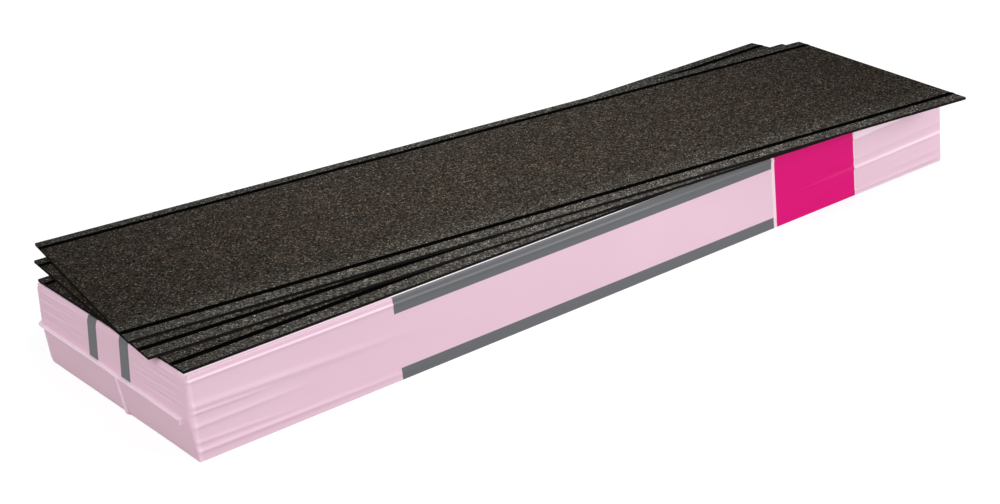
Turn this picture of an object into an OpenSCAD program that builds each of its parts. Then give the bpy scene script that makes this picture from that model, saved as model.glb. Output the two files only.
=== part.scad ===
// Bundle of asphalt starter-strip shingles: a stack in a film wrapper, with three loose strips fanned on top.
// Millimetres. X runs along the strips, Y to the back and Z up. The origin is the middle of the underside.

/* [Strip] */
// Length of a strip
strip_l = 1000; // [800:1:1200]
// Width of a strip, before it is torn into two halves
strip_w = 315; // [250:1:400]
// Thickness of the coated mat with its granules
strip_t = 2.8; // [2:0.1:5]
// Width of the tear line, a score down the middle of the granule face
tear_w = 2; // [1:0.1:4]
// Depth of the tear line
tear_d = 0.6; // [0.2:0.1:1.2]

/* [Sealant lines] */
// Width of a line where it lies on the granules
line_w = 7; // [4:0.5:15]
// Height of a line above the granules
line_h = 0.4; // [0.2:0.1:1]
// How far each sloped side of a line runs in
line_slope = 0.6; // [0.2:0.1:1.5]
// From the front edge of a strip to the middle of its front line
front_inset = 22; // [10:0.5:60]
// From the back edge of a strip to the middle of its back line
back_inset = 18.5; // [10:0.5:60]

/* [Stack] */
// Strips inside the wrapper
wrapped_count = 27; // [20:1:40]

/* [Film] */
// Thickness of the film
film_t = 0.5; // [0.2:0.1:1]
// Room between the film and the edges and ends of the strips
side_gap = 2; // [0.6:0.1:4]
// Room between the film and the faces of the stack, above and below
face_gap = 0.3; // [0.1:0.05:1]
// Height of the lower end flap, from the floor to the seal
lower_flap_h = 47; // [20:1:60]
// How far each end bellies out at its seal
belly = 4.5; // [2:0.5:12]
// How far the sealed fin stands out from the belly
fin_out = 4; // [3:0.5:15]
// Layers of film in the fin
fin_layers = 2; // [1:1:4]
// How far the fin stops short of one corner, where its end is folded down
fin_tuck = 13; // [6:0.5:60]
// Length of the fin's end that is folded down
fin_fold = 6.5; // [2:0.5:15]
// Radius of the fin's ear, at its other corner
fin_ear_r = 2; // [0.5:0.1:3]

/* [Fan] */
// Turn of the lower loose strip
lower_angle = -0.4; // [-15:0.1:15]
// Turn of the middle loose strip
middle_angle = -5.4; // [-15:0.1:15]
// Turn of the top loose strip
top_angle = -8.7; // [-15:0.1:15]
// Shift of the lower loose strip along the bundle
lower_x = 0.5; // [-30:0.5:30]
// Shift of the middle loose strip along the bundle
middle_x = 1; // [-30:0.5:30]
// Shift of the top loose strip along the bundle
top_x = 7.5; // [-30:0.5:30]
// Shift of the lower loose strip across the bundle
lower_y = 0.5; // [-30:0.5:30]
// Shift of the middle loose strip across the bundle
middle_y = 2; // [-30:0.5:30]
// Shift of the top loose strip across the bundle
top_y = 13; // [-30:0.5:30]

/* [Hidden] */
$fn = 64;

// A strip lies on the sealant lines of the strip below it.
pitch = strip_t + line_h;
// Room inside the film
room_l = strip_l + 2 * side_gap;
room_w = strip_w + 2 * side_gap;
room_h = wrapped_count * pitch + 2 * face_gap;
// Outside of the film
film_l = room_l + 2 * film_t;
film_w = room_w + 2 * film_t;
film_h = room_h + 2 * film_t;
stack_z = film_t + face_gap;
// The film bends round the square edges and corners of the strips and stays just clear of them.
bend_share = 0.9;
edge_bend_r = bend_share * widest_bend(side_gap, face_gap);
corner_bend_r = belly + bend_share * widest_bend(side_gap, side_gap);
fin_t = fin_layers * film_t;

strip_colour = "#39332f";
sealant_colour = "#0e0d0d";
film_colour = "#e8c6d6";

// The largest inside radius that clears a square edge lying a and b behind the two faces
function widest_bend(a, b) = a + b + sqrt(2 * a * b);

module rounded_rectangle(w, h, r) {
    square([w - 2 * r, h], center = true);
    square([w, h - 2 * r], center = true);
    for (x = [-1, 1], y = [-1, 1])
        translate([x * (w / 2 - r), y * (h / 2 - r)]) circle(r);
}

module along_x(l) {
    rotate([90, 0, 90]) linear_extrude(l, center = true) children();
}

module along_y(l) {
    rotate([90, 0, 0]) linear_extrude(l, center = true) children();
}

// The film seen from the front: both end flaps slope out to the seal
module flap_outline(l, h) {
    seal_z = lower_flap_h - film_h / 2;
    polygon([
        [-l / 2, -h / 2],
        [l / 2, -h / 2],
        [l / 2 + belly, seal_z],
        [l / 2, h / 2],
        [-l / 2, h / 2],
        [-l / 2 - belly, seal_z]
    ]);
}

// One face of the film as a solid: the block that lies inside it
module film_block(l, w, h, edge_r, corner_r) {
    longest = l + 2 * belly;
    intersection() {
        along_x(longest) rounded_rectangle(w, h, edge_r);
        along_y(w) flap_outline(l, h);
        linear_extrude(h, center = true) rounded_rectangle(longest, w, corner_r);
    }
}

// The seal of one end: it grows out of the middle of the film's thickness, and its front end is folded down
module fin() {
    longest = film_l + 2 * belly;
    corner_r = corner_bend_r + film_t;
    front = fin_tuck - film_w / 2;
    translate([0, 0, lower_flap_h - fin_t / 2]) linear_extrude(fin_t) intersection() {
        difference() {
            rounded_rectangle(longest + 2 * fin_out, film_w, fin_ear_r);
            rounded_rectangle(longest - film_t, film_w - film_t, corner_r - film_t / 2);
        }
        translate([-longest / 2 - fin_out, front]) square([fin_out + corner_r, film_w / 2 - front]);
    }
    translate([-longest / 2 - fin_out, front, lower_flap_h - fin_fold])
        cube([fin_out + film_t / 2, fin_t, fin_fold]);
}

module wrapper() {
    color(film_colour) {
        translate([0, 0, film_h / 2]) difference() {
            film_block(film_l, film_w, film_h, edge_bend_r + film_t, corner_bend_r + film_t);
            film_block(room_l, room_w, room_h, edge_bend_r, corner_bend_r);
        }
        for (end = [0, 1])
            mirror([end, 0, 0]) fin();
    }
}

// One strip with its underside on the floor and the tear line in its upper face
module strip() {
    color(strip_colour) along_x(strip_l) polygon([
        [-strip_w / 2, 0],
        [strip_w / 2, 0],
        [strip_w / 2, strip_t],
        [tear_w / 2, strip_t],
        [0, strip_t - tear_d],
        [-tear_w / 2, strip_t],
        [-strip_w / 2, strip_t]
    ]);
}

// The two sealant lines of one strip
module sealant() {
    for (y = [front_inset - strip_w / 2, strip_w / 2 - back_inset])
        color(sealant_colour) along_x(strip_l) translate([y, strip_t]) polygon([
            [-line_w / 2, 0],
            [line_w / 2, 0],
            [line_w / 2 - line_slope, line_h],
            [line_slope - line_w / 2, line_h]
        ]);
}

module in_wrapper() {
    for (layer = [0 : wrapped_count - 1])
        translate([0, 0, stack_z + layer * pitch]) children();
}

// Lays a loose strip on the wrapper, with so many others below it
module on_fan(below, x, y, angle) {
    translate([x, y, film_h + below * pitch]) rotate(angle) children();
}

module lower_place() {
    on_fan(0, lower_x, lower_y, lower_angle) children();
}

module middle_place() {
    on_fan(1, middle_x, middle_y, middle_angle) children();
}

module top_place() {
    on_fan(2, top_x, top_y, top_angle) children();
}

wrapper();
in_wrapper() strip();  // wrapped_strips
in_wrapper() sealant();  // wrapped_sealant
lower_place() strip();  // lower_strip
lower_place() sealant();  // lower_sealant
middle_place() strip();  // middle_strip
middle_place() sealant();  // middle_sealant
top_place() strip();  // top_strip
top_place() sealant();  // top_sealant
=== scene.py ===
import math

import bmesh
import bpy
import numpy as np
from mathutils import Matrix, Vector


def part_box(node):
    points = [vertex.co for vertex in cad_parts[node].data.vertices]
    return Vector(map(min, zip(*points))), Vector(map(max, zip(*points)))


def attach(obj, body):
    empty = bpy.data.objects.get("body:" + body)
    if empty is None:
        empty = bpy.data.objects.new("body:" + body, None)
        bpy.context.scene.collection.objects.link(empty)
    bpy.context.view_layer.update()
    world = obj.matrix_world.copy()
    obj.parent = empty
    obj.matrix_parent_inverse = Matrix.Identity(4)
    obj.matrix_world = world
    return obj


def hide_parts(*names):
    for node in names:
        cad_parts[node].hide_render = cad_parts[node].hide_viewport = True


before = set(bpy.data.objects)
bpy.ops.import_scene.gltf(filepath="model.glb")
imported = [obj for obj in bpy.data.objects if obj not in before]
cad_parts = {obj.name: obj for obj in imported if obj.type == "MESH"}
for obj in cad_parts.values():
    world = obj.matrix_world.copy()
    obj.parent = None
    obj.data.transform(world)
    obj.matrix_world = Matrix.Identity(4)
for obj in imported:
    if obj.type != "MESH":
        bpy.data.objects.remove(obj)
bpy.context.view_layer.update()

# Starter strips: felt-thin mats of glass fibre soaked and coated with asphalt, with crushed rock
# granules rolled into the upper face while it is hot. They are cut square, so the edges show bare
# black asphalt, and the underside is dusted with sand so that stacked strips do not stick.
MM = 0.001
strip_half_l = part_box("wrapped_strips")[1].x
strip_w = 315 * MM
strip_t = 2.8 * MM
front_inset = 22 * MM
back_inset = 18.5 * MM
line_w = 7 * MM
# How far the granules are black beside each sealant line, and how soft that border is
dark_beside_line = 0.9 * MM
dark_beside_edge = dark_beside_line / 4
tear_w = 2 * MM
tear_edge = tear_w / 3
front_line = front_inset - strip_w / 2
back_line = strip_w / 2 - back_inset

granule_size = 1.5 * MM
granule_edge = 0.7
granule_relief = 0.8
granule_depth = 0.4 * granule_size
granule_tones = [
    (0.00, (0.0065, 0.0055, 0.0046)),
    (0.40, (0.028, 0.0235, 0.0193)),
    (0.70, (0.048, 0.0403, 0.0331)),
    (0.92, (0.087, 0.0731, 0.0600)),
    (1.00, (0.200, 0.168, 0.138)),
]
strip_roughness = 0.85
asphalt_black = (0.004, 0.0038, 0.0036, 1)
cut_edge = (0.0125, 0.0108, 0.0104, 1)
sand_grey = (0.060, 0.057, 0.053, 1)
sand_size = 0.4 * MM
sand_detail = 2.0
sand_from, sand_to = 0.45, 0.62
facing_limit = 0.3

# The batch of granules drifts between rust and slate, and the field and margins differ in tone.
# Towards both ends the granules are darkened with painted shade.
mottle_size = 26 * MM
mottle_detail = 5.0
mottle_roughness = 0.62
warm_from, warm_to = 0.42, 0.62
cool_from, cool_to = 0.48, 0.34
brown_half = 80 * MM
brown_edge = brown_half / 2
front_field = 26 * MM
front_field_edge = front_field / 2
end_shade_power = 2.0
rust_tint = (1.08, 0.99, 0.94, 1)
slate_tint = (0.96, 1.00, 0.99, 1)
front_field_tint = (1.40, 1.50, 1.52, 1)
front_margin_tint = (1.90, 2.10, 2.26, 1)
back_margin_tint = (1.36, 1.54, 1.72, 1)
end_painted_shade = (0.64, 0.64, 0.65, 1)
worn_tint = (1.30, 1.28, 1.25, 1)


def shade(tree, kind, inputs=None, **settings):
    """Adds a node. An input is a plain value, or the output of another node that feeds it."""
    made = tree.nodes.new(kind)
    for name, value in settings.items():
        setattr(made, name, value)
    for name, value in (inputs or {}).items():
        socket = made.inputs[name]
        if isinstance(value, bpy.types.NodeSocket):
            tree.links.new(value, socket)
        else:
            socket.default_value = value
    return made


def calc(tree, operation, a, b=0.0, clamp=False):
    """One step of arithmetic on two numbers."""
    return shade(tree, "ShaderNodeMath", {0: a, 1: b}, operation=operation, use_clamp=clamp).outputs[0]


def together(tree, first, *others):
    """The product of several masks: one only where each of them is one."""
    for other in others:
        first = calc(tree, "MULTIPLY", first, other)
    return first


def eased(tree, value, start, stop, low=0.0, high=1.0):
    """A number that goes from low to high while the value goes from start to stop."""
    inputs = {"Value": value, "From Min": start, "From Max": stop, "To Min": low, "To Max": high}
    return shade(tree, "ShaderNodeMapRange", inputs).outputs[0]


def between(tree, value, low, high, soft):
    """One between two places and nothing outside them, with soft borders."""
    rise = eased(tree, value, low - soft, low + soft)
    fall = eased(tree, value, high + soft, high - soft)
    return together(tree, rise, fall)


def noise(tree, place, scale, detail, roughness=0.5):
    """Soft blotches from nought to one, so many to the metre."""
    inputs = {"Vector": place, "Scale": scale, "Detail": detail, "Roughness": roughness}
    return shade(tree, "ShaderNodeTexNoise", inputs).outputs["Fac"]


def mixed(tree, factor, a, b, blend_type="MIX"):
    """Colour a, going over to b where the factor is one. The node takes its colours at sockets 6 and 7."""
    inputs = {"Factor": factor, 6: a, 7: b}
    return shade(tree, "ShaderNodeMix", inputs, data_type="RGBA", blend_type=blend_type).outputs[2]


def tinted(tree, factor, colour, tint):
    """A colour, multiplied by a tint where the factor is one."""
    return mixed(tree, factor, colour, tint, "MULTIPLY")


def ramp(tree, factor, stops):
    """A run of colours, each given with its place from nought to one."""
    made = shade(tree, "ShaderNodeValToRGB", {"Fac": factor})
    while len(made.color_ramp.elements) < len(stops):
        made.color_ramp.elements.new(1.0)
    for element, (place, colour) in zip(made.color_ramp.elements, stops):
        element.position = place
        element.color = (*colour, 1)
    return made.outputs["Color"]


def relief(tree, height, strength, depth):
    """Fine ups and downs of a surface."""
    inputs = {"Height": height, "Strength": strength, "Distance": depth}
    return shade(tree, "ShaderNodeBump", inputs).outputs[0]


def new_material(name):
    """An empty material, and the tree to fill."""
    material = bpy.data.materials.new(name)
    material.use_nodes = True
    tree = material.node_tree
    tree.nodes.clear()
    return material, tree


def finish_material(tree, inputs):
    """Closes a material with one surface."""
    surface = shade(tree, "ShaderNodeBsdfPrincipled", inputs)
    shade(tree, "ShaderNodeOutputMaterial", {"Surface": surface.outputs[0]})


def own_places(tree):
    """Places on a piece, in the frame of the whole bundle."""
    return shade(tree, "ShaderNodeTexCoord").outputs["Object"]


def lie_of(name):
    """Where a strip lies: its middle, and its turn about the vertical, from its own corners."""
    corners = np.array([v.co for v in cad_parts[name].data.vertices])
    corners = np.unique(corners.round(5), axis=0)
    middle = (corners.min(axis=0) + corners.max(axis=0)) / 2
    spread = np.cov((corners - corners.mean(axis=0))[:, :2].T)
    along = np.linalg.eigh(spread)[1][:, 1]
    return middle, math.atan2(along[1] * np.sign(along[0]), abs(along[0]))


def on_strip(tree, lie):
    """Places on a strip, measured from its middle, along it and across it."""
    middle, turn = lie
    inputs = {"Vector": own_places(tree), "Location": middle, "Rotation": (0, 0, turn)}
    return shade(tree, "ShaderNodeMapping", inputs, vector_type="TEXTURE").outputs[0]


def batch_tints_and_painted_shade(tree, stone, local):
    """Tints the granules: painted shade towards the ends, warm and cool drifts, paler grey margins outside
    the sealant, a rubbed tear line, and black for a little way beside the sealant lines."""
    along, across, _ = shade(tree, "ShaderNodeSeparateXYZ", {0: local}).outputs
    from_middle = calc(tree, "ABSOLUTE", calc(tree, "DIVIDE", along, strip_half_l))
    # Painted shade: the granules grow darker towards both ends of the strip
    stone = tinted(tree, calc(tree, "POWER", from_middle, end_shade_power), stone, end_painted_shade)
    drift = noise(tree, local, 1 / mottle_size, mottle_detail, mottle_roughness)
    inner = between(tree, across, -brown_half, brown_half, brown_edge)
    field = tinted(tree, together(tree, eased(tree, drift, warm_from, warm_to), inner), stone, rust_tint)
    field = tinted(tree, eased(tree, drift, cool_from, cool_to), field, slate_tint)
    near_front = between(tree, across, front_line - strip_w, front_line + front_field, front_field_edge)
    field = tinted(tree, near_front, field, front_field_tint)
    before = calc(tree, "LESS_THAN", across, front_line)
    behind = calc(tree, "GREATER_THAN", across, back_line)
    stone = mixed(tree, before, field, tinted(tree, 1.0, stone, front_margin_tint))
    stone = tinted(tree, behind, stone, back_margin_tint)
    stone = tinted(tree, between(tree, across, -tear_w / 2, tear_w / 2, tear_edge), stone, worn_tint)
    for line in (front_line, back_line):
        reach = line_w / 2 + dark_beside_line
        beside_line = between(tree, across, line - reach, line + reach, dark_beside_edge)
        stone = mixed(tree, beside_line, stone, asphalt_black)
    return stone


def strip_material(name, lie):
    """Granules above, bare asphalt on the cut edges and sand below."""
    material, tree = new_material(name)
    local = on_strip(tree, lie)
    cells = shade(tree, "ShaderNodeTexVoronoi", {"Vector": local, "Scale": 1 / granule_size}).outputs
    pick = shade(tree, "ShaderNodeSeparateColor", {0: cells["Color"]}).outputs[0]
    stone = batch_tints_and_painted_shade(tree, ramp(tree, pick, granule_tones), local)

    facing = shade(tree, "ShaderNodeNewGeometry").outputs["True Normal"]
    rise = shade(tree, "ShaderNodeSeparateXYZ", {0: facing}).outputs["Z"]
    above = calc(tree, "GREATER_THAN", rise, facing_limit)
    below = calc(tree, "LESS_THAN", rise, -facing_limit)
    sandy = eased(tree, noise(tree, local, 1 / sand_size, sand_detail), sand_from, sand_to)
    underside = mixed(tree, sandy, asphalt_black, sand_grey)
    colour = mixed(tree, above, mixed(tree, below, cut_edge, underside), stone)

    grain = eased(tree, cells["Distance"], 0.0, granule_edge, 1.0, 0.0)
    finish_material(tree, {"Base Color": colour, "Roughness": strip_roughness, "Specular IOR Level": 0.0,
                           "Normal": relief(tree, grain, granule_relief, granule_depth)})
    return material


strip_lies = {name: lie_of(name) for name in ("lower_strip", "middle_strip", "top_strip")}
strip_lies["wrapped_strips"] = (Vector((0, 0, 0)), 0.0)
for name, lie in strip_lies.items():
    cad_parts[name].material_slots[0].material = strip_material(name + "_face", lie)

# Sealant lines: two beads of soft asphalt on each strip, laid hot by a wheel near both long edges.
# They stay tacky, so they are a deeper black than the cut edges, and they are faintly lumpy.
sealant_black = (0.0006, 0.0005, 0.0004, 1)
sealant_worn = (0.0025, 0.0023, 0.0021, 1)
sealant_roughness = 0.7
lumps_each_m = 420.0
lump_detail = 4.0
lump_relief = 0.5
lump_depth = 0.6 * MM
sealant, tree = new_material("sealant")
lumps = noise(tree, own_places(tree), lumps_each_m, lump_detail)
finish_material(tree, {"Base Color": mixed(tree, lumps, sealant_black, sealant_worn),
                       "Roughness": sealant_roughness, "Specular IOR Level": 0.0,
                       "Normal": relief(tree, lumps, lump_relief, lump_depth)})
for name in ("wrapped_sealant", "lower_sealant", "middle_sealant", "top_sealant"):
    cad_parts[name].material_slots[0].material = sealant

# Film wrapper: one printed polyethylene sheet shrunk round the stack. It bridges the square edges of
# the strips in a soft bend, pulls into long creases from the corners, and slopes out at both ends to
# the seal, where the two flaps meet.
film_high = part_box("wrapper")[1]
belly = 4.5 * MM
fin_out = 4 * MM
seal_z = 47 * MM
seal_fall = 0.0152
fall_from = 60 * MM
film_half_l = film_high.x - belly - fin_out
film_half_w = film_high.y
film_h = film_high.z
film_wall = 0.4 * MM
edge_r = 1.8 * MM
corner_r = 2.4 * MM

# How far the film is drawn in to the strips, and over what length that dies out
end_hug = 1.8 * MM
hug_run = 7 * MM
corner_hug = 1.2 * MM
back_hug = 1.5 * MM
right_hug = 1.5 * MM
strip_clear = 0.6 * MM
least_out = strip_half_l + strip_clear - film_half_l
front_lean = 1.5 * MM
lean_run = 250 * MM
foot_run = 60 * MM
foot_hug = 0.2

# Creases, as (x, z) of both ends, height and width, all in millimetres. Each is highest at its first end
# and dies out at the other.
long_crease = (503, 36.6, 250, 31.5, 2.0, 1.7)
upper_crease = (503, 76, 300, 66, 1.3, 2.0)
front_creases = [
    (-503, 56, -240, 46.5, 1.3, 3.6),
    (-503, 49.5, -410, 46.3, 1.2, 1.6),
    (-503, 35.5, -370, 35, 1.0, 2.4),
    (-503, 20, -380, 14.5, 0.85, 1.9),
    (-503, 10.5, -230, 6.5, 1.2, 2.2),
    upper_crease,
    (503, 49.5, 300, 42, 1.0, 3.0),
    long_crease,
    (503, 17, 390, 14, 0.8, 2.4),
    (503, 6.5, 300, 4, 1.2, 1.8),
]
back_creases = [
    (-503, 62, -300, 58, 1.0, 3.5),
    (-503, 30, -340, 33, 1.0, 2.4),
    (503, 52, 320, 49, 1.1, 2.6),
    (503, 24, 360, 20, 0.9, 2.4),
    (503, 12, 380, 9, 0.8, 2.2),
]
crease_start = 8
rim_crease = (-510, 81.7, 510, 79.4, 0.9, 1.15)
right_fade = 16 * MM

# The pleat below a seal leans and stands out most at its foot.
pleat_h = 42 * MM
pleat_top_y, pleat_foot_y = -14 * MM, -18 * MM
pleat_top_out, pleat_foot_out = 2.2 * MM, 3.2 * MM
pleat_front_w = 2.0 * MM
pleat_back_w = 0.8 * MM

# Faint streaks, by their length, height and strength, and where those of an end's upper flap begin
ripple_waves = 14
ripple_lean = 0.02
long_share, high_share = (0.6, 2.2), (0.5, 1.8)
side_streak = 420 * MM, 16 * MM
front_strength, back_strength = 0.05 * MM, 0.06 * MM
end_streak = 170 * MM, 6.5 * MM
end_strength = 0.62 * MM
above_seal, above_run = 3 * MM, 10 * MM
smooth_half, smooth_run = 48 * MM, 14 * MM
corner_run = 30 * MM


def grid_lines(start, *stretches):
    """Places from a start, each stretch given as its end and about how far apart its places are."""
    lines = [np.array([start])]
    for stop, step in stretches:
        count = max(1, round((stop - start) / step))
        lines.append(np.linspace(start, stop, count + 1)[1:])
        start = stop
    return np.concatenate(lines)


def box_skin(xs, ys, zs):
    """The six faces of a box as one closed grid of shared corners, facing outwards."""
    places = {}
    corners = []
    faces = []

    def corner(i, j, k):
        key = (i, j, k)
        if key not in places:
            places[key] = len(corners)
            corners.append((xs[i], ys[j], zs[k]))
        return places[key]

    counts = (len(xs) - 1, len(ys) - 1, len(zs) - 1)
    for axis in range(3):
        one, two = (axis + 1) % 3, (axis + 2) % 3
        for side in (0, counts[axis]):
            for a in range(counts[one]):
                for b in range(counts[two]):
                    quad = []
                    for da, db in ((0, 0), (1, 0), (1, 1), (0, 1)):
                        index = [0, 0, 0]
                        index[axis], index[one], index[two] = side, a + da, b + db
                        quad.append(corner(*index))
                    faces.append(quad if side else quad[::-1])
    return np.array(corners), faces


def bend_round(places):
    """Rounds a sharp box's upright corners and level edges. Returns the places and the way they face."""
    half = np.array([film_half_l, film_half_w])
    plan = places[:, :2]
    core = np.clip(plan, corner_r - half, half - corner_r)
    out = plan - core
    reach = np.abs(out).max(axis=1)
    length = np.linalg.norm(out, axis=1)
    way = out / np.maximum(length, 1e-9)[:, None]
    plan = core + way * reach[:, None]
    inset = np.where(reach > 0, corner_r - reach, corner_r)
    level = places[:, 2]
    side = np.clip(edge_r - inset, 0, edge_r)
    raised = np.clip(level - film_h + edge_r, 0, edge_r)
    lowered = np.clip(edge_r - level, 0, edge_r)
    lift = np.where(level > film_h / 2, raised, -lowered)
    bent = (side > 0) & (np.abs(lift) > 0)
    size = np.where(bent, np.hypot(side, lift), edge_r)
    new_side = np.where(bent, side * edge_r / size, side)
    new_lift = np.where(bent, lift * edge_r / size, lift)
    plan = plan - way * (side - new_side)[:, None]
    level = level + new_lift - lift
    facing = np.column_stack([way * (new_side / edge_r)[:, None], new_lift / edge_r])
    return np.column_stack([plan, level]), facing


def crease(a, b, stroke):
    """Height of a crease at the places (a, b) of a face, in metres."""
    a0, b0, a1, b1, height, width = stroke
    start, run = np.array([a0, b0]) * MM, np.array([a1 - a0, b1 - b0]) * MM
    gone = ((a - start[0]) * run[0] + (b - start[1]) * run[1]) / (run @ run)
    off = ((b - start[1]) * run[0] - (a - start[0]) * run[1]) / np.linalg.norm(run)
    fade = np.clip(1 - np.clip(gone, 0, 1) ** 2, 0, 1) * np.clip(1 + gone * crease_start, 0, 1)
    return height * MM * fade * np.exp(-(off / (width * MM)) ** 2)


def even_crease(a, b, stroke):
    """A crease of one height along its whole length, twice as wide below its top as above it."""
    a0, b0, a1, b1, height, width = stroke
    off = b / MM - b0 - (b1 - b0) * (a / MM - a0) / (a1 - a0)
    return height * MM * np.exp(-(off / np.where(off > 0, width, 2 * width)) ** 2)


def ripple(a, b, seed, size, strength):
    """Faint streaks, long one way and short the other."""
    chance = np.random.default_rng(seed)
    length, height = size
    circle = 2 * math.pi
    total = np.zeros_like(a)
    for _ in range(ripple_waves):
        pitch_a = length * chance.uniform(*long_share)
        pitch_b = height * chance.uniform(*high_share)
        turn_a, turn_b, tilt = chance.uniform(0, circle, 3)
        leaned = b + ripple_lean * a * math.sin(tilt)
        total += np.sin(a / pitch_a * circle + turn_a) * np.sin(leaned / pitch_b * circle + turn_b)
    return strength * total / math.sqrt(ripple_waves)


def belly_width(across, front_run, back_run):
    """How full an end is across its width: whole in the middle, rounded off towards its two corners."""
    run = np.where(across < 0, front_run, back_run)
    inward = np.clip((film_half_w - np.abs(across)) / run, 0, 1)
    return np.sqrt(1 - (1 - inward) ** 2)


def pleat_swell(across, z):
    """The fold below a seal, a narrow ridge that is steeper at its back."""
    gone = np.clip(1 - z / pleat_h, 0, 1)
    middle = pleat_top_y + (pleat_foot_y - pleat_top_y) * gone
    height = pleat_top_out + (pleat_foot_out - pleat_top_out) * gone
    width = np.where(across < middle, pleat_front_w, pleat_back_w)
    return np.where(z < pleat_h, height, 0) * np.exp(-((across - middle) / width) ** 2)


def seal_level(across):
    """Level of the seal, which falls a little towards the front."""
    return seal_z - seal_fall * np.clip(fall_from - across, 0, None)


def end_swell(across, z, seed, corners):
    """How far an end stands out: two flaps that flare out to the seal, streaks and the pleat."""
    seal = seal_level(across)
    flap = np.clip(np.where(z > seal, (film_h - z) / (film_h - seal), z / seal), 0, 1)
    hug = end_hug * np.clip(1 - np.minimum(z, film_h - z) / hug_run, 0, 1) ** 2
    near_foot = np.clip((across + film_half_w) / foot_run, foot_hug, 1)
    hug = np.where(z < film_h / 2, hug * near_foot, hug)
    full = belly_width(across, *corners)
    slope = belly * full * flap - hug - corner_hug * (1 - full)
    upper = np.clip((z - seal - above_seal) / above_run, 0, 1)
    beside = np.clip((np.abs(across) - smooth_half) / smooth_run, 0, 1)
    inward = np.clip((film_half_w - np.abs(across)) / corner_run, 0, 1)
    streaks = ripple(across, z, seed, end_streak, end_strength) * upper * inward * beside
    return slope + streaks + pleat_swell(across, z)


# The grid is close at the bends, the creases and the pleat, and wide where the film is plain.
bend, bend_step = 6 * MM, 1 * MM
edge, edge_step = 4 * MM, 0.8 * MM
rim, rim_step = 12 * MM, 0.5 * MM
creased_left, creased_right, crease_step, plain_step = -0.30, 0.20, 10 * MM, 24 * MM
pleat_zone, close_step, end_step = 32 * MM, 1.1 * MM, 7 * MM
xs = grid_lines(-film_half_l, (bend - film_half_l, bend_step), (creased_left, crease_step),
                (creased_right, plain_step), (film_half_l - bend, crease_step), (film_half_l, bend_step))
ys = grid_lines(-film_half_w, (bend - film_half_w, bend_step), (-pleat_zone, end_step), (0.0, close_step),
                (film_half_w - bend, end_step), (film_half_w, bend_step))
zs = grid_lines(0, (edge, edge_step), (seal_z, close_step), (film_h - rim, close_step),
                (film_h - edge, rim_step), (film_h, edge_step))
places, faces = box_skin(xs, ys, zs)
places, facing = bend_round(places)
x, y, z = places.T
front = np.clip(-facing[:, 1], 0, 1) ** 2
back = np.clip(facing[:, 1], 0, 1) ** 2
left = np.clip(-facing[:, 0], 0, 1) ** 2
right = np.clip(facing[:, 0], 0, 1) ** 2

from_right = film_half_l - x
swell_front = even_crease(x, z, rim_crease) + sum(crease(x, z, stroke) for stroke in front_creases)
swell_front *= np.clip(from_right / right_fade, 0, 1)
swell_front += ripple(x, z, 11, side_streak, front_strength)
swell_front -= front_lean * (1 - z / film_h) * np.clip(from_right / lean_run, 0, 1)
swell_back = even_crease(x, z, rim_crease) + sum(crease(x, z, stroke) for stroke in back_creases)
swell_back += ripple(x, z, 12, side_streak, back_strength)
left_corners = 7 * MM, 14 * MM
right_corners = 90 * MM, 14 * MM
swell_left = end_swell(y, z, 21, left_corners)
swell_right = np.maximum(end_swell(y, z, 22, right_corners) - right_hug, least_out)
y = y - front * swell_front + back * (swell_back - back_hug)
x = x - left * swell_left + right * swell_right
z = np.clip(z, 0, film_h)

# Painted light right of the panel, kept as a mesh attribute: painted highlights on the long and upper
# creases and along the foot, and paler film near the rim where the overhanging strips shade it
painted_light_from = 0.354
painted_light_drop = 20 * MM
painted_light_rise = 0.109
painted_light_lift, painted_light_height, painted_light_upper = 0.5 * MM, 1.6 * MM, 0.8 * MM
painted_light_rim, painted_light_foot = 2.5 * MM, 3 * MM
painted_light = crease(x, z - painted_light_lift, long_crease) / painted_light_height
painted_light += crease(x, z - painted_light_lift, upper_crease) / painted_light_upper
rim_start = film_h - painted_light_drop + (x - painted_light_from) * painted_light_rise
painted_light += np.clip((z - rim_start) / painted_light_rim, 0, 1)
painted_light += np.clip(1 - z / painted_light_foot, 0, 1)
painted_light = np.where(x > painted_light_from, np.clip(painted_light, 0, 1) * front, 0)


def placed(name, data):
    """Makes an object and puts it in the scene, at the origin."""
    made = bpy.data.objects.new(name, data)
    bpy.context.scene.collection.objects.link(made)
    return made


film_mesh = bpy.data.meshes.new("wrapper_film")
film_mesh.from_pydata(np.column_stack([x, y, z]).tolist(), [], faces)
film_mesh.attributes.new("painted_light", "FLOAT", "POINT").data.foreach_set("value", painted_light)
film_mesh.shade_smooth()
film = placed("wrapper_film", film_mesh)
thickness = film.modifiers.new("film thickness", "SOLIDIFY")
thickness.thickness = film_wall
thickness.offset = -1

film_pink = (0.790, 0.546, 0.654, 1)
film_end = (0.815, 0.540, 0.653, 1)
film_pale = (0.860, 0.690, 0.765, 1)
film_white_highlight = (0.920, 0.850, 0.885, 1)
film_highlight = (0.960, 0.740, 0.845, 1)
film_on_strip = (0.660, 0.450, 0.545, 1)
film_painted_light = (0.985, 0.765, 0.870, 1)
ink_grey = (0.142, 0.146, 0.154, 1)
ink_highlight = (0.195, 0.200, 0.211, 1)
ink_magenta = (0.690, 0.004, 0.180, 1)

# Places of the prints: the two grey bands and the panel of the front, and the two stripes of the left end
band_left, band_right = -0.2769, 0.2263
panel_left, panel_right = 0.2308, 0.3547
panel_border = 1.5 * MM
print_slant = 0.02
top_band_low, low_band_top = 0.0708, 0.0128
stripe_middle, stripe_gap, stripe_w = -0.0028, 0.049, 0.019
stripe_run = 6 * MM
wrap_over = 15 * MM
ink_edge = 0.25 * MM
end_clear, seal_clear = 0.2 * MM, 0.3 * MM
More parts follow.
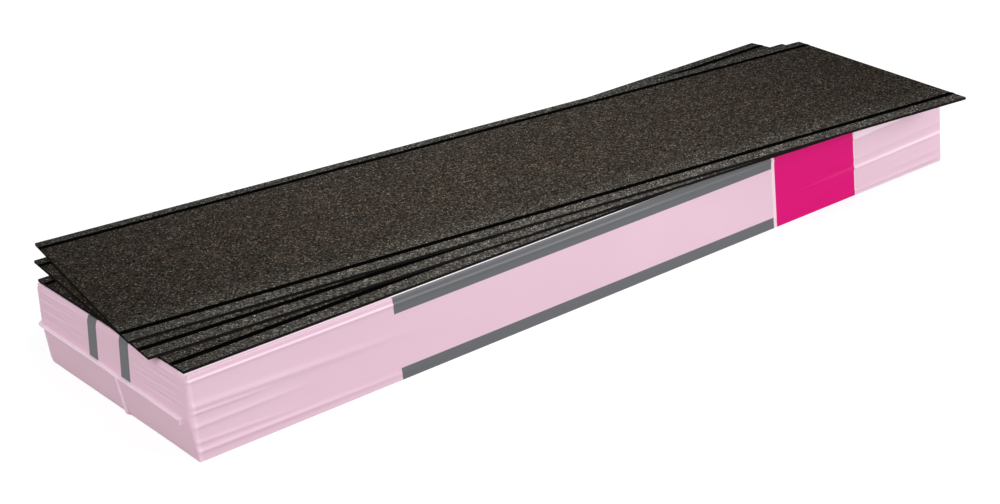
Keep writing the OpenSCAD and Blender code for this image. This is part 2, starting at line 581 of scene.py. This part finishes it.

# Places where the film is thinner, where highlights are painted on it, and how far their colour goes there
cloud_each_m, cloud_detail = 9.0, 3.0
thin_from, thin_to, thin_share = 0.3, 0.7, 0.12
corner_highlight_from, corner_highlight_to, corner_highlight_edge = 0.8 * MM, 4.5 * MM, 1.2 * MM
corner_highlight_share = 0.3
crease_below, crease_above, crease_edge = 0.6 * MM, 1.2 * MM, 0.8 * MM
crease_highlight_share, crease_ink_highlight_share = 0.7, 0.6
rim_run = 1.45 * MM
rim_slant = 0.0032
drawn_out = (0.06, 0.06, 1.0)
streaks_each_m, streak_detail = 260.0, 4.0
streak_relief, streak_depth = 0.12, 0.5 * MM
gloss_low, gloss_high = 0.34, 0.50
film_specular = 0.1

film_material, tree = new_material("printed_film")
place = own_places(tree)
along, across, level = shade(tree, "ShaderNodeSeparateXYZ", {0: place}).outputs
front_half = calc(tree, "LESS_THAN", across, wrap_over - film_half_w)
at_end = calc(tree, "LESS_THAN", along, -film_half_l - end_clear)
on_front = together(tree, front_half, calc(tree, "SUBTRACT", 1.0, at_end))
from_end = calc(tree, "ABSOLUTE", along)

slid = calc(tree, "MULTIPLY", calc(tree, "SUBTRACT", level, film_h / 2), print_slant)
printed = calc(tree, "ADD", along, slid)
high_band = eased(tree, level, top_band_low - ink_edge, top_band_low + ink_edge)
low_band = eased(tree, level, low_band_top + ink_edge, low_band_top - ink_edge)
bands = calc(tree, "ADD", high_band, low_band, clamp=True)
bands = together(tree, bands, between(tree, printed, band_left, band_right, ink_edge), on_front)
panel = together(tree, between(tree, printed, panel_left, panel_right, ink_edge), on_front)
around_panel = between(tree, printed, band_right, panel_right + panel_border, ink_edge)
around_panel = together(tree, around_panel, on_front)
from_middle = calc(tree, "ABSOLUTE", calc(tree, "SUBTRACT", across, stripe_middle))
stripes = between(tree, from_middle, stripe_gap / 2, stripe_gap / 2 + stripe_w, ink_edge)
fallen = calc(tree, "MAXIMUM", calc(tree, "SUBTRACT", fall_from, across), 0.0)
fallen = calc(tree, "MULTIPLY", fallen, seal_fall)
upper_flap = calc(tree, "GREATER_THAN", calc(tree, "ADD", level, fallen), seal_z + seal_clear)
left_end = calc(tree, "LESS_THAN", along, stripe_run - film_half_l)
stripes = together(tree, stripes, upper_flap, left_end)

cloud = noise(tree, place, cloud_each_m, cloud_detail)
thin = eased(tree, cloud, thin_from, thin_to, 0.0, thin_share)
ends = eased(tree, from_end, film_half_l - end_hug, film_half_l)
pink = mixed(tree, thin, mixed(tree, ends, film_pink, film_end), film_pale)
# Painted highlight: a paler band on the front just beside the rounded left corner
painted_corner_highlight = between(tree, along, corner_highlight_from - film_half_l, corner_highlight_to - film_half_l, corner_highlight_edge)
pink = mixed(tree, together(tree, painted_corner_highlight, on_front, corner_highlight_share), pink, film_highlight)
over_strip = eased(tree, level, film_h - edge_r, film_h - edge_r / 3)
pink = mixed(tree, together(tree, over_strip, on_front), pink, film_on_strip)
crease_fall = (rim_crease[3] - rim_crease[1]) / (rim_crease[2] - rim_crease[0])
crease_middle = (rim_crease[1] - crease_fall * rim_crease[0]) * MM
off_crease = calc(tree, "SUBTRACT", level, calc(tree, "MULTIPLY", along, crease_fall))
on_crease = between(tree, off_crease, crease_middle - crease_below, crease_middle + crease_above, crease_edge)
on_crease = together(tree, on_crease, on_front)
# Painted highlight: the film is paler along the upper side of the rim crease
pink = mixed(tree, together(tree, on_crease, crease_highlight_share), pink, film_highlight)
# Painted light right of the panel, read from the mesh attribute
painted_light_mask = shade(tree, "ShaderNodeAttribute", attribute_name="painted_light").outputs["Fac"]
pink = mixed(tree, painted_light_mask, pink, film_painted_light)

colour = mixed(tree, around_panel, pink, film_pale)
colour = mixed(tree, panel, colour, ink_magenta)
# Painted highlight: the grey ink is paler along the rim crease
ink = mixed(tree, together(tree, on_crease, crease_ink_highlight_share), ink_grey, ink_highlight)
colour = mixed(tree, calc(tree, "ADD", bands, stripes, clamp=True), colour, ink)
# Painted highlight: a thin pale line along the film's top bend, white over the bands and the panel
slanted = calc(tree, "ADD", across, calc(tree, "MULTIPLY", along, rim_slant))
painted_rim_highlight = between(tree, slanted, rim_run - film_half_w, wrap_over - film_half_w, ink_edge)
painted_rim_highlight = together(tree, painted_rim_highlight, calc(tree, "GREATER_THAN", level, film_h - edge_r))
rim_highlight_colour = mixed(tree, between(tree, along, band_left, panel_right, ink_edge), film_pale, film_white_highlight)
colour = mixed(tree, painted_rim_highlight, colour, rim_highlight_colour)
# Painted highlight: the lit front side of the pleat below each seal is paler
pleat_lean = calc(tree, "MULTIPLY", level, (pleat_top_y - pleat_foot_y) / pleat_h)
off_pleat = calc(tree, "SUBTRACT", across, calc(tree, "ADD", pleat_lean, pleat_foot_y))
painted_pleat_highlight = between(tree, off_pleat, -pleat_front_w, pleat_back_w / 2, ink_edge)
below_top = calc(tree, "LESS_THAN", level, pleat_h)
on_end = calc(tree, "GREATER_THAN", from_end, film_half_l - end_hug)
colour = mixed(tree, together(tree, painted_pleat_highlight, below_top, on_end), colour, film_highlight)

stretched_out = shade(tree, "ShaderNodeMapping", {"Vector": place, "Scale": drawn_out}).outputs[0]
streaks = noise(tree, stretched_out, streaks_each_m, streak_detail)
gloss = eased(tree, streaks, 0.0, 1.0, gloss_low, gloss_high)
finish_material(tree, {"Base Color": colour, "Roughness": gloss, "Specular IOR Level": film_specular,
                       "Normal": relief(tree, streaks, streak_relief, streak_depth)})
film_mesh.materials.append(film_material)
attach(film, "root")
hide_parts("wrapper")

# Seal fins: the two flaps of each end pressed together by a hot jaw and trimmed. A fin stands out from
# the belly, sags a little, runs past the back corner as an ear, and is folded down at its other end.
fin_t = 1.0 * MM
fin_reach = 3.8 * MM
fin_root = 1.2 * MM
fin_tuck = 13 * MM
fin_fold = 6.5 * MM
fold_r = 1.2 * MM
fold_reach = 0.75
fin_droop = 0.9 * MM
fin_ear = 1.5 * MM
ear_run = 7 * MM
ear_reach = 0.35
ear_root = 0.8
fin_steps, bend_steps, drop_steps = 140, 6, 4
# Waves of a fin's level, as height, turns along the fin and start
fin_waves = ((0.15 * MM, 60, 0), (0.1 * MM, 148, 1))
# Outline of a fin's section, as shares of its reach and of its thickness
fin_profile = [(0, 0.5), (0.5, 0.5), (0.94, 0.5), (1, 0.25), (1, -0.25), (0.94, -0.5), (0.5, -0.5), (0, -0.5)]
fin_sharp = math.radians(50)
# The fins are paler than the film: two layers pressed together, and a painted highlight along their top
seal_pink = (0.940, 0.735, 0.835, 1)
seal_pale = (0.980, 0.800, 0.895, 1)
seal_roughness = 0.35
seal_specular = 0.2
crimp_pitch = 4 * MM
crimp_wander = 0.6
crimp_relief, crimp_depth = 0.25, 0.3 * MM


def fin_path():
    """The line of a fin from its ear to its folded end: places across, levels, and the way its upper face
    looks."""
    ear_end, fold_start = film_half_w + fin_ear, fin_tuck + fold_r - film_half_w
    across = np.linspace(ear_end, fold_start, fin_steps)
    wave = sum(height * np.sin(across * turns + start) for height, turns, start in fin_waves)
    level = seal_level(across) + wave
    run = [np.column_stack([across, level, np.zeros(fin_steps), np.ones(fin_steps)])]
    for angle in np.linspace(0, math.pi / 2, bend_steps + 1)[1:]:
        sine, cosine = math.sin(angle), math.cos(angle)
        run.append([[fold_start - fold_r * sine, level[-1] - fold_r * (1 - cosine), -sine, cosine]])
    for drop in np.linspace(fold_r, fin_fold, drop_steps + 1)[1:]:
        run.append([[fold_start - fold_r, level[-1] - drop, -1, 0]])
    return np.concatenate(run)


def fin_skin(side, corners, drawn_in):
    """One fin as a thin closed strip, with its root inside the film."""
    path = fin_path()
    across, level, look_y, look_z = path.T
    film_out = film_half_l - drawn_in + belly * belly_width(across, *corners)
    root = film_out - fin_root - np.clip(across - film_half_w + corner_r, 0, corner_r) * ear_root
    ear = np.sqrt(np.clip((film_half_w + fin_ear - across) / ear_run, 0, 1))
    reach = fin_reach * (ear_reach + (1 - ear_reach) * ear) * (fold_reach + (1 - fold_reach) * look_z)
    tip = film_out + reach
    rings = []
    for share, half in fin_profile:
        out = root + (tip - root) * share
        lift = half * fin_t - fin_droop * share ** 2
        rings.append(np.column_stack([side * out, across + look_y * lift, level + look_z * lift]))
    points = np.stack(rings, axis=1)
    count, sides = len(path), len(fin_profile)
    quads = []
    for i in range(count - 1):
        for j in range(sides):
            k = (j + 1) % sides
            quads.append((i * sides + j, i * sides + k, (i + 1) * sides + k, (i + 1) * sides + j))
    caps = [tuple(range(sides))[::-1], tuple((count - 1) * sides + j for j in range(sides))]
    return points.reshape(-1, 3), quads + caps


fin_points, fin_faces = [], []
for side, corners, drawn_in in ((-1, left_corners, 0), (1, right_corners, right_hug)):
    points, quads = fin_skin(side, corners, drawn_in)
    fin_faces += [[len(fin_points) + i for i in quad] for quad in quads]
    fin_points += points.tolist()
fins_mesh = bpy.data.meshes.new("seal_fins")
fins_mesh.from_pydata(fin_points, [], fin_faces)
build = bmesh.new()
build.from_mesh(fins_mesh)
bmesh.ops.recalc_face_normals(build, faces=build.faces)
build.to_mesh(fins_mesh)
build.free()
fins_mesh.shade_smooth()
fins_mesh.set_sharp_from_angle(angle=fin_sharp)

seal_material, tree = new_material("sealed_film")
crimps = shade(tree, "ShaderNodeTexWave", {"Vector": own_places(tree), "Scale": 1 / crimp_pitch,
                                           "Distortion": crimp_wander}, bands_direction="X").outputs["Fac"]
finish_material(tree, {"Base Color": mixed(tree, crimps, seal_pale, seal_pink), "Roughness": seal_roughness,
                       "Specular IOR Level": seal_specular,
                       "Normal": relief(tree, crimps, crimp_relief, crimp_depth)})
fins_mesh.materials.append(seal_material)
fins = placed("seal_fins", fins_mesh)
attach(fins, "root")

# Granules of the loose strips: coarse grains of crushed rock that stand out of the asphalt wherever a
# strip is in view. They are left out below the sealant, in the tear line and under the next strip.
granules_each_m2 = 60000.0
grain_radius = 0.6 * MM
grain_segments, grain_rings = 4, 2
grain_tilt = 0.5
smallest_grain, largest_grain = (0.55, 0.55, 0.45), (1.35, 1.1, 0.85)
size_draw, tone_draw = 100, 200
grain_tones = [
    (0.00, (0.007, 0.006, 0.005)),
    (0.50, (0.034, 0.0285, 0.0235)),
    (0.80, (0.080, 0.067, 0.054)),
    (0.91, (0.240, 0.204, 0.165)),
    (1.00, (0.680, 0.600, 0.500)),
]
pits_each_m, pit_detail, pit_share = 3200.0, 2.0, 0.4
grain_roughness = 0.75
grain_specular = 0.05


def grain_material(name, lie):
    """Loose grains: each has a tone of its own, tinted as the strip below it is."""
    material, tree = new_material(name)
    tone = shade(tree, "ShaderNodeAttribute", attribute_name="tone").outputs["Fac"]
    local = on_strip(tree, lie)
    stone = batch_tints_and_painted_shade(tree, ramp(tree, tone, grain_tones), local)
    pits = together(tree, noise(tree, local, pits_each_m, pit_detail), pit_share)
    stone = mixed(tree, pits, stone, asphalt_black)
    finish_material(tree, {"Base Color": stone, "Roughness": grain_roughness,
                           "Specular IOR Level": grain_specular})
    return material


def granule_tree():
    """Scatters grains over a face. Its sizes are the modifier's inputs."""
    group = bpy.data.node_groups.new("granule scatter", "GeometryNodeTree")
    ports = group.interface
    ports.new_socket("Face", in_out="INPUT", socket_type="NodeSocketGeometry")
    for label, kind in (("Grains each square metre", "NodeSocketFloat"), ("Grain radius", "NodeSocketFloat"),
                        ("Seed", "NodeSocketInt"), ("Material", "NodeSocketMaterial")):
        ports.new_socket(label, in_out="INPUT", socket_type=kind)
    ports.new_socket("Grains", in_out="OUTPUT", socket_type="NodeSocketGeometry")
    given = group.nodes.new("NodeGroupInput").outputs
    points = shade(group, "GeometryNodeDistributePointsOnFaces", {
        "Mesh": given["Face"], "Density": given["Grains each square metre"], "Seed": given["Seed"]})
    grain = shade(group, "GeometryNodeMeshUVSphere", {
        "Segments": grain_segments, "Rings": grain_rings, "Radius": given["Grain radius"]})
    turn = shade(group, "FunctionNodeRandomValue", {
        "Max": (grain_tilt, grain_tilt, 2 * math.pi), "Seed": given["Seed"]}, data_type="FLOAT_VECTOR")
    size = shade(group, "FunctionNodeRandomValue", {
        "Min": smallest_grain, "Max": largest_grain, "Seed": calc(group, "ADD", given["Seed"], size_draw)},
        data_type="FLOAT_VECTOR")
    strewn = shade(group, "GeometryNodeInstanceOnPoints", {
        "Points": points.outputs["Points"], "Instance": grain.outputs["Mesh"],
        "Rotation": turn.outputs[0], "Scale": size.outputs[0]})
    tone = shade(group, "FunctionNodeRandomValue", {
        "Seed": calc(group, "ADD", given["Seed"], tone_draw)}, data_type="FLOAT")
    marked = shade(group, "GeometryNodeStoreNamedAttribute", {
        "Geometry": strewn.outputs[0], "Name": "tone", "Value": tone.outputs[1]},
        data_type="FLOAT", domain="INSTANCE")
    solid = shade(group, "GeometryNodeRealizeInstances", {0: marked.outputs[0]})
    painted = shade(group, "GeometryNodeSetMaterial", {
        "Geometry": solid.outputs[0], "Material": given["Material"]})
    shade(group, "NodeGroupOutput", {"Grains": painted.outputs[0]})
    return group


def bare_face(lie, cover):
    """The granule face of a strip as bands between its lines, without what the next strip covers."""
    middle, turn = lie
    half_l = strip_half_l - grain_radius
    half_w = strip_w / 2 - grain_radius
    top = middle[2] + strip_t / 2
    seat = Matrix.Translation((middle[0], middle[1], top)) @ Matrix.Rotation(turn, 4, "Z")
    clear = line_w / 2 + dark_beside_line + grain_radius
    bands = (
        (-half_w, front_line - clear),
        (front_line + clear, -tear_w),
        (tear_w, back_line - clear),
        (back_line + clear, half_w),
    )
    build = bmesh.new()
    for low, high in bands:
        corners = ((-half_l, low, 0), (half_l, low, 0), (half_l, high, 0), (-half_l, high, 0))
        build.faces.new([build.verts.new(seat @ Vector(corner)) for corner in corners])
    if cover:
        over, over_turn = cover
        lay = Matrix.Translation((over[0], over[1], middle[2])) @ Matrix.Rotation(over_turn, 4, "Z")
        sides = []
        for half, axis in ((strip_half_l, Vector((1, 0, 0))), (strip_w / 2, Vector((0, 1, 0)))):
            for way in (-axis, axis):
                sides.append((lay @ (way * (half + grain_radius)), lay.to_3x3() @ way))
        for point, normal in sides:
            everything = build.verts[:] + build.edges[:] + build.faces[:]
            bmesh.ops.bisect_plane(build, geom=everything, plane_co=point, plane_no=normal)
        hidden = [f for f in build.faces if all((f.calc_center_median() - p).dot(n) < 0 for p, n in sides)]
        bmesh.ops.delete(build, geom=hidden, context="FACES")
    mesh = bpy.data.meshes.new("granule face")
    build.to_mesh(mesh)
    build.free()
    return mesh


def scatter(name, lie, cover, seed):
    """Makes a strip's loose grains, as one plain mesh."""
    base = placed(name + "_base", bare_face(lie, cover))
    modifier = base.modifiers.new("granules", "NODES")
    modifier.node_group = granules
    given = {"Grains each square metre": granules_each_m2, "Grain radius": grain_radius, "Seed": seed,
             "Material": grain_material(name, lie)}
    for item in granules.interface.items_tree:
        if item.name in given:
            modifier[item.identifier] = given[item.name]
    graph = bpy.context.evaluated_depsgraph_get()
    mesh = bpy.data.meshes.new_from_object(base.evaluated_get(graph))
    bpy.data.objects.remove(base)
    made = placed(name, mesh)
    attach(made, "root")


granules = granule_tree()
scatter("lower_granules", strip_lies["lower_strip"], strip_lies["middle_strip"], 31)
scatter("middle_granules", strip_lies["middle_strip"], strip_lies["top_strip"], 32)
scatter("top_granules", strip_lies["top_strip"], None, 33)

# Studio: a pale seamless paper floor under an even sky, with soft square lamps in front, low at the right,
# at and above the left end, overhead and low behind. The floor looks white and glows a little more far off,
# where the lamps do not reach. It throws back less light than that, so it does not light the bundle's foot.
floor_half = 9.0
near_floor, far_floor = 0.9, 2.6
near_glow, far_glow = 0.80, 0.94
floor_grey = (0.30, 0.30, 0.30, 1)
sky_light = 0.28
sky_white = (1, 1, 1, 1)
floor_corners = [(-floor_half, -floor_half, 0), (floor_half, -floor_half, 0),
                 (floor_half, floor_half, 0), (-floor_half, floor_half, 0)]
floor_mesh = bpy.data.meshes.new("floor")
floor_mesh.from_pydata(floor_corners, [], [(0, 1, 2, 3)])


def seen_directly(tree):
    """One for what the eye sees, straight or in a reflection, and nought for light that is thrown back."""
    rays = shade(tree, "ShaderNodeLightPath").outputs
    mirrored = calc(tree, "MAXIMUM", rays["Is Glossy Ray"], rays["Is Transmission Ray"])
    return calc(tree, "MAXIMUM", rays["Is Camera Ray"], mirrored)


floor_material, tree = new_material("floor")
paper = shade(tree, "ShaderNodeBsdfDiffuse", {"Color": floor_grey})
away = shade(tree, "ShaderNodeVectorMath", {0: own_places(tree)}, operation="LENGTH").outputs["Value"]
floor_glow = eased(tree, away, near_floor, far_floor, near_glow, far_glow)
glow = shade(tree, "ShaderNodeEmission", {"Strength": together(tree, seen_directly(tree), floor_glow)})
both = shade(tree, "ShaderNodeAddShader", {0: paper.outputs[0], 1: glow.outputs[0]})
shade(tree, "ShaderNodeOutputMaterial", {"Surface": both.outputs[0]})
floor_mesh.materials.append(floor_material)
placed("floor", floor_mesh)


def turn_to(place, aim):
    """The turn that makes a lamp or camera at a place look at a point."""
    return (Vector(aim) - Vector(place)).to_track_quat("-Z", "Y")


def soft_lamp(name, place, aim, size, power):
    """A square lamp that looks at a point."""
    light = bpy.data.lights.new(name, "AREA")
    light.size = size
    light.energy = power
    lamp = placed(name, light)
    lamp.location = place
    lamp.rotation_euler = turn_to(place, aim).to_euler()


soft_lamp("front_lamp", (1.4, -3.1, 0.95), (0, -0.16, 0.05), 2.2, 78.5)
soft_lamp("right_lamp", (0.75, -0.95, 0.15), (0.42, -0.16, 0.05), 0.4, 1.0)
soft_lamp("left_lamp", (-2.9, -1.9, 0.7), (-0.5, -0.1, 0.05), 1.6, 21)
soft_lamp("end_lamp", (-2.9, -0.6, 2.3), (-0.5, 0, 0.05), 2.4, 49)
soft_lamp("top_lamp", (0.0, -0.12, 1.0), (0.0, -0.05, 0.1), 0.7, 5.5)
soft_lamp("back_lamp", (2.2, 2.7, 0.45), (0.2, 0.1, 0.05), 0.8, 75)

world = bpy.data.worlds.new("studio")
bpy.context.scene.world = world
world.use_nodes = True
tree = world.node_tree
tree.nodes.clear()
strength = eased(tree, seen_directly(tree), 0.0, 1.0, sky_light, 1.0)
sky = shade(tree, "ShaderNodeBackground", {"Color": sky_white, "Strength": strength})
shade(tree, "ShaderNodeOutputWorld", {"Surface": sky.outputs[0]})

# Camera: left of the bundle, in front of it and above it. It looks along the front towards the right end and
# is rolled a little, with a long lens, so that the far end is not much smaller than the near one.
eye = Vector((-1.1600, -1.6103, 0.8157))
aim = Vector((-0.1000, -0.0927, 0.0600))
roll = math.radians(-5.928)
sensor_w = 36.0
lens = 69.46
camera_data = bpy.data.cameras.new("camera")
camera_data.sensor_width = sensor_w
camera_data.lens = lens
camera = placed("camera", camera_data)
turned = turn_to(eye, aim).to_matrix().to_4x4()
camera.matrix_world = Matrix.Translation(eye) @ turned @ Matrix.Rotation(roll, 4, "Z")
bpy.context.scene.camera = camera
bpy.context.scene.view_settings.view_transform = "Standard"
